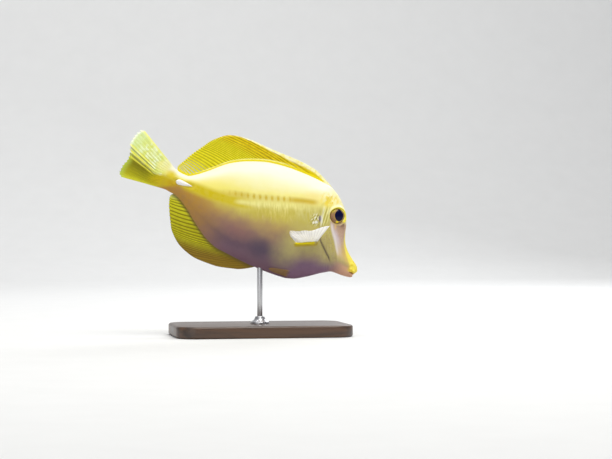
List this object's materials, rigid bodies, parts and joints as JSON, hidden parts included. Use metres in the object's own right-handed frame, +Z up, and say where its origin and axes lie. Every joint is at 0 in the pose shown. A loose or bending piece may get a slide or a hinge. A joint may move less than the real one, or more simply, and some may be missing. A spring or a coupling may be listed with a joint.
{
  "type": "yellow tang museum model",
  "caption": "Still life-size yellow tang, a deep flat reef fish swimming nose down with its side fins spread, held over a flat base by a rod.",
  "frame": {"origin": "middle of the display base's underside", "axes": "+X towards the fish's head, along its heading; +Y towards the fish's left side; +Z up. The fish is tipped nose down about Y."},
  "size_m": [0.1414, 0.0642, 0.1208],
  "materials": {
    "skin_yellow": "moist satin skin, painted",
    "pectoral_membrane": "thin cloudy membrane",
    "eye": "polished, dark pupil with a bronze iris",
    "spine": "smooth white",
    "stand_wood": "dark stain, satin lacquer",
    "stand_metal": "fine brushed"
  },
  "bodies": {
    "root": {"head": "skin_yellow", "gill_cover_left": "skin_yellow", "gill_cover_right": "skin_yellow", "snout": "skin_yellow", "upper_jaw": "skin_yellow", "lower_jaw": "skin_yellow", "trunk": "skin_yellow", "tail_stalk": "skin_yellow", "dorsal_fin": "skin_yellow", "anal_fin": "skin_yellow", "tail_fin": "skin_yellow", "pelvic_fin_left": "skin_yellow", "pelvic_fin_right": "skin_yellow", "pectoral_fin_left": "pectoral_membrane", "pectoral_fin_right": "pectoral_membrane", "eye_left": "eye", "eye_right": "eye", "tail_spine_left": "spine", "tail_spine_right": "spine", "stand_base": "stand_wood", "stand_rod": "stand_metal", "stand_collar": "stand_metal"}
  },
  "joints": []
}
